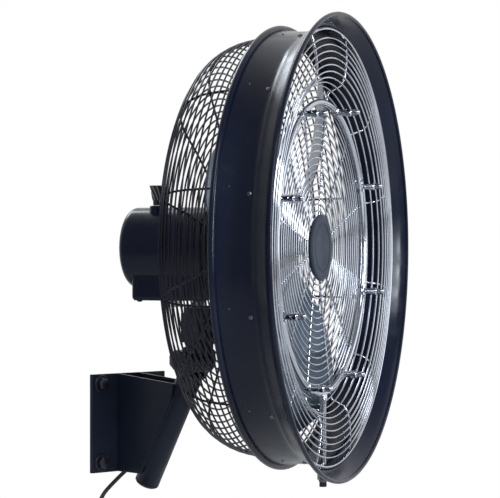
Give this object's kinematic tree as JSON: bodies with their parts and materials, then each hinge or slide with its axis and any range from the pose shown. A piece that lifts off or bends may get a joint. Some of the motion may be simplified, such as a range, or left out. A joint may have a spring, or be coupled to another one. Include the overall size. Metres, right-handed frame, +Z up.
{
  "type": "wall mounted fan",
  "caption": "Wall mounted oscillating fan with a steel drum, wire guards, a misting ring and a tilting post bracket; blows air, and a fine mist, outdoors.",
  "frame": {"origin": "centre of the wall plate's back face", "axes": "+Y into the wall, square to the plate's back face; +Z up; the fan stands out towards -Y, its head stored swung 27 degrees to the +X side"},
  "size_m": [0.6421, 0.5327, 0.911],
  "materials": {
    "bracket_paint": "gloss black",
    "body_paint": "gloss black with a slightly blue cast",
    "guard_wire": "black coated wire",
    "chrome_wire": "bright chrome",
    "blade_metal": "mill-finish sheet",
    "hardware": "zinc plated",
    "copper": "varnished copper winding",
    "brass": "turned brass",
    "plastic": "moulded black",
    "rubber": "soft black jacket"
  },
  "bodies": {
    "bracket": {"wall_plate": "bracket_paint", "wall_washer_upper": "hardware", "wall_bolt_upper": "hardware", "wall_washer_lower": "hardware", "wall_bolt_lower": "hardware", "cheek_near": "bracket_paint", "cheek_far": "bracket_paint", "post_tube": "bracket_paint", "post_end_cap": "plastic", "post_clevis": "bracket_paint", "tilt_bolt": "hardware", "tilt_lock_knob": "plastic", "cable_web": "bracket_paint", "strain_relief": "rubber", "power_cord": "rubber", "cord_coil": "rubber", "plug": "rubber", "coil_tie": "plastic"},
    "neck": {"neck_casting": "bracket_paint", "swing_pin": "hardware", "swing_pin_nut": "hardware"},
    "rotor": {"motor_shaft": "hardware", "rotor_core": "hardware", "fan_hub": "blade_metal", "hub_nut": "hardware", "worm": "hardware", "blade_1": "blade_metal", "blade_2": "blade_metal", "blade_3": "blade_metal"},
    "clutch": {"clutch_knob": "plastic"},
    "swing_gear": {"worm_wheel_shaft": "brass"},
    "crank": {"crank": "hardware"},
    "swing_link": {"swing_link": "hardware"},
    "head": {"gearbox_housing": "body_paint", "foot_plate": "body_paint", "swing_bush": "brass", "motor_casing": "body_paint", "motor_stator": "copper", "front_bearing": "hardware", "rear_bearing_plate": "blade_metal", "drum_shroud": "body_paint", "rear_guard": "guard_wire", "guard_clamp_ring": "body_paint", "front_guard": "chrome_wire", "guard_badge": "plastic", "mist_ring": "chrome_wire", "mist_nozzle_1": "chrome_wire", "mist_nozzle_2": "chrome_wire", "mist_nozzle_3": "chrome_wire", "mist_nozzle_4": "chrome_wire", "mist_nozzle_5": "chrome_wire", "mist_nozzle_6": "chrome_wire", "mist_nozzle_7": "chrome_wire", "mist_nozzle_8": "chrome_wire", "mist_feed_tube": "chrome_wire", "mist_inlet": "brass"}
  },
  "joints": [
    {"name": "head_tilt", "type": "hinge", "parent": "bracket", "child": "neck", "pos_m": [0, -0.165, 0.103], "axis": [1, 0, 0], "range_deg": [-8, 20]},
    {"name": "head_swing", "type": "hinge", "parent": "neck", "child": "head", "pos_m": [0, -0.172, 0.271], "axis": [0, 0, 1], "range_deg": [-67, 13]},
    {"name": "blade_spin", "type": "hinge", "parent": "head", "child": "rotor", "pos_m": [0, -0.172, 0.271], "axis": [0.454, -0.891, 0], "continuous": true},
    {"name": "clutch_pull", "type": "slide", "parent": "head", "child": "clutch", "axis": [0, 0, 1], "range_m": [0, 0.008]},
    {"name": "swing_gear_turn", "type": "hinge", "parent": "head", "child": "swing_gear", "pos_m": [-0.05086, -0.12945, 0.271], "axis": [0, 0, 1], "continuous": true},
    {"name": "crank_turn", "type": "hinge", "parent": "head", "child": "crank", "pos_m": [-0.01717, -0.12463, 0.192], "axis": [0, 0, 1], "continuous": true},
    {"name": "link_turn", "type": "hinge", "parent": "crank", "child": "swing_link", "pos_m": [-0.00292, -0.11737, 0.184], "axis": [0, 0, 1], "continuous": true}
  ],
  "couplings": [
    {"joint": "swing_gear_turn", "follows": "blade_spin", "ratio": 0.033333},
    {"joint": "crank_turn", "follows": "blade_spin", "ratio": -0.006667},
    {"joint": "link_turn", "follows": "blade_spin", "ratio": 0.006667}
  ]
}
